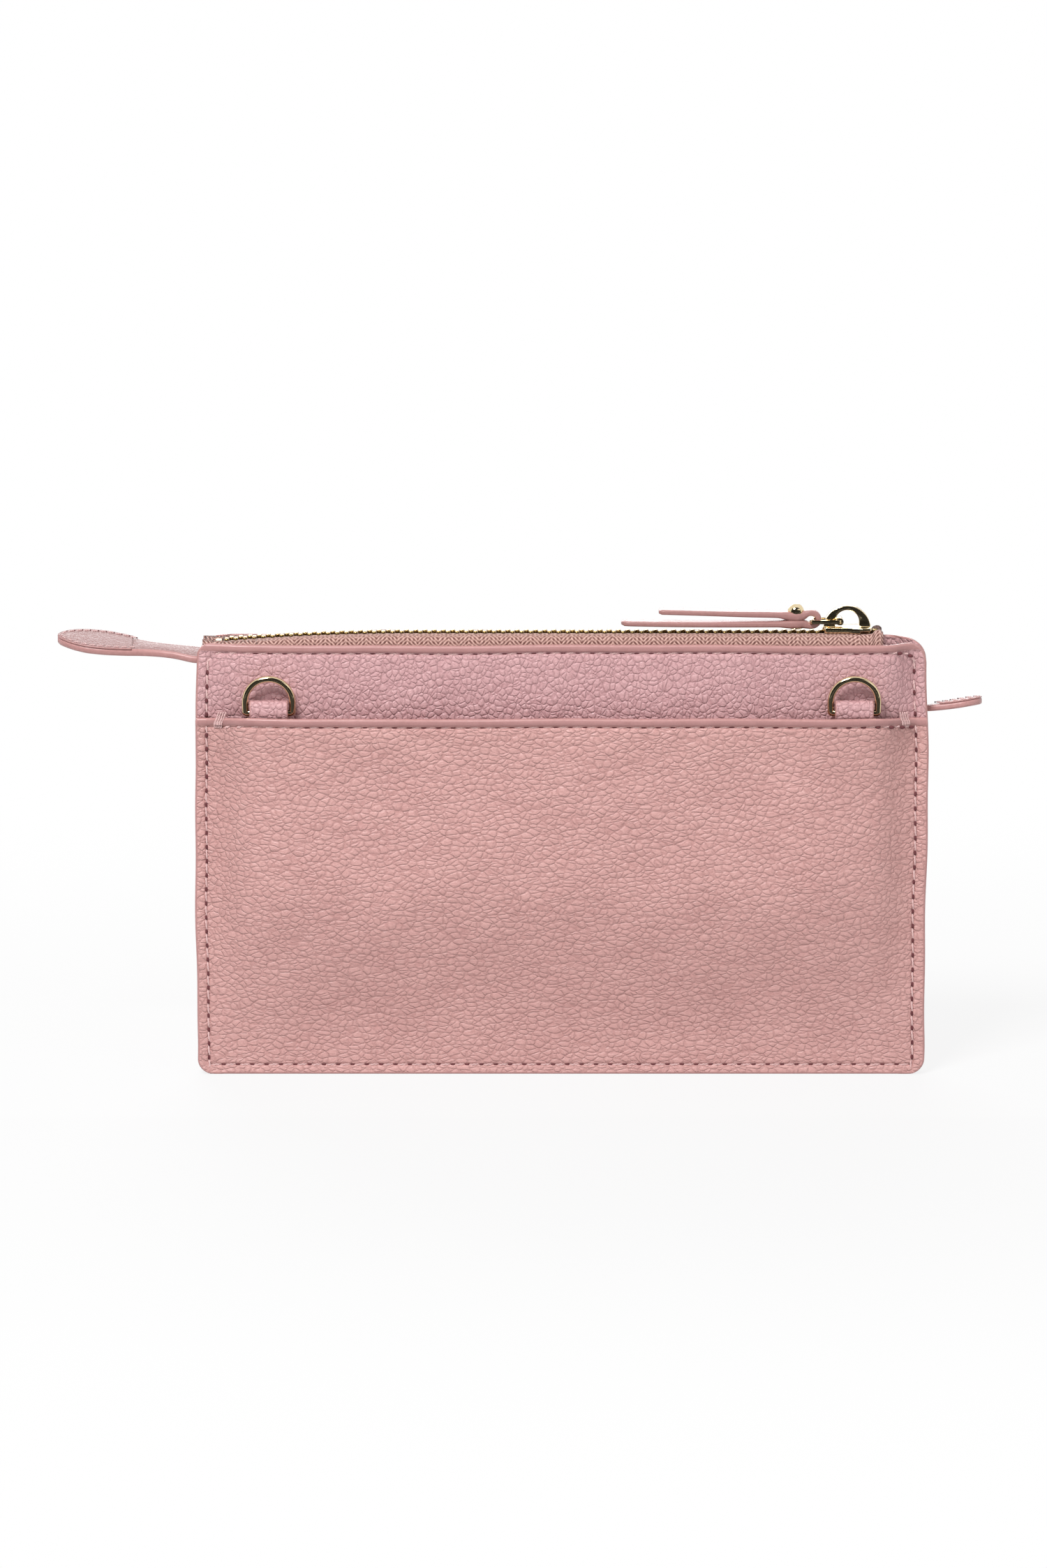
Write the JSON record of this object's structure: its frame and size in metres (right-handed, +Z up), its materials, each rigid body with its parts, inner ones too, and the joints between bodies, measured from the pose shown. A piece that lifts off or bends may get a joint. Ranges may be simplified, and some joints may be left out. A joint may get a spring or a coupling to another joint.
{
  "type": "zipped wristlet pouch",
  "caption": "Flat leather zip-top pouch with a rear slip pocket, a lower zipped front pocket, D-rings for a strap and leather zip pulls.",
  "frame": {"origin": "middle of the sewn bottom edge, on the foot of the middle wall, where the pouch stands", "axes": "+X along the width, the main zip's closed end; +Y towards the zipped front pocket; +Z up; the slip pocket and D-rings are on -Y"},
  "size_m": [0.2737, 0.0308, 0.1411],
  "materials": {
    "leather": "pebbled grain leather, satin, with painted edges",
    "pull_leather": "smooth strap leather with painted edges",
    "lining": "plain woven lining",
    "zip_tape": "woven polyester tape",
    "zip_metal": "light gold metal teeth",
    "plated_hardware": "polished light gold plating"
  },
  "bodies": {
    "pouch": {"back_panel": "leather", "middle_panel": "leather", "slip_pocket_panel": "leather", "front_panel": "leather", "main_tail_tab": "leather", "front_tail_tab": "leather", "d_ring_loop_left": "leather", "d_ring_loop_right": "leather", "main_lining_back": "lining", "main_lining_front": "lining", "front_lining_back": "lining", "front_lining_front": "lining", "main_teeth_back": "zip_metal", "main_teeth_front": "zip_metal", "main_stops": "zip_metal", "main_tape_back": "zip_tape", "main_tape_front": "zip_tape", "front_teeth_back": "zip_metal", "front_teeth_front": "zip_metal", "front_stops": "zip_metal", "front_tape_back": "zip_tape", "front_tape_front": "zip_tape"},
    "main_slider": {"main_slider": "plated_hardware"},
    "main_link": {"main_link": "plated_hardware"},
    "main_pull": {"main_pull_strap": "pull_leather", "main_pull_stud": "plated_hardware"},
    "front_slider": {"front_slider": "plated_hardware"},
    "front_link": {"front_link": "plated_hardware"},
    "front_pull": {"front_pull_strap": "pull_leather", "front_pull_stud": "plated_hardware"},
    "d_ring_left": {"d_ring_left": "plated_hardware"},
    "d_ring_right": {"d_ring_right": "plated_hardware"}
  },
  "joints": [
    {"name": "main_slide", "type": "slide", "parent": "pouch", "child": "main_slider", "axis": [-1, 0, 0], "range_m": [0, 0.1726], "deforming": ["main_teeth_back", "main_teeth_front", "main_tape_back", "main_tape_front"]},
    {"name": "main_link_hinge", "type": "hinge", "parent": "main_slider", "child": "main_link", "pos_m": [0.0836, -0.00108, 0.13585], "axis": [0, 1, 0], "range_deg": [0, 120]},
    {"name": "main_pull_hinge", "type": "hinge", "parent": "main_link", "child": "main_pull", "pos_m": [0.0732, -0.00108, 0.13585], "axis": [0, 1, 0], "range_deg": [0, 50]},
    {"name": "front_slide", "type": "slide", "parent": "pouch", "child": "front_slider", "axis": [1, 0, 0], "range_m": [0, 0.16485], "deforming": ["front_teeth_back", "front_teeth_front", "front_tape_back", "front_tape_front"]},
    {"name": "front_link_hinge", "type": "hinge", "parent": "front_slider", "child": "front_link", "pos_m": [-0.0836, 0.01063, 0.11391], "axis": [0, -1, 0], "range_deg": [0, 120]},
    {"name": "front_pull_hinge", "type": "hinge", "parent": "front_link", "child": "front_pull", "pos_m": [-0.0758, 0.01063, 0.11391], "axis": [0, -1, 0], "range_deg": [0, 50]},
    {"name": "d_ring_left_hinge", "type": "hinge", "parent": "pouch", "child": "d_ring_left", "pos_m": [-0.0855, -0.01046, 0.11], "axis": [1, 0, 0], "range_deg": [0, 85]},
    {"name": "d_ring_right_hinge", "type": "hinge", "parent": "pouch", "child": "d_ring_right", "pos_m": [0.0855, -0.01046, 0.11], "axis": [1, 0, 0], "range_deg": [0, 85]}
  ]
}
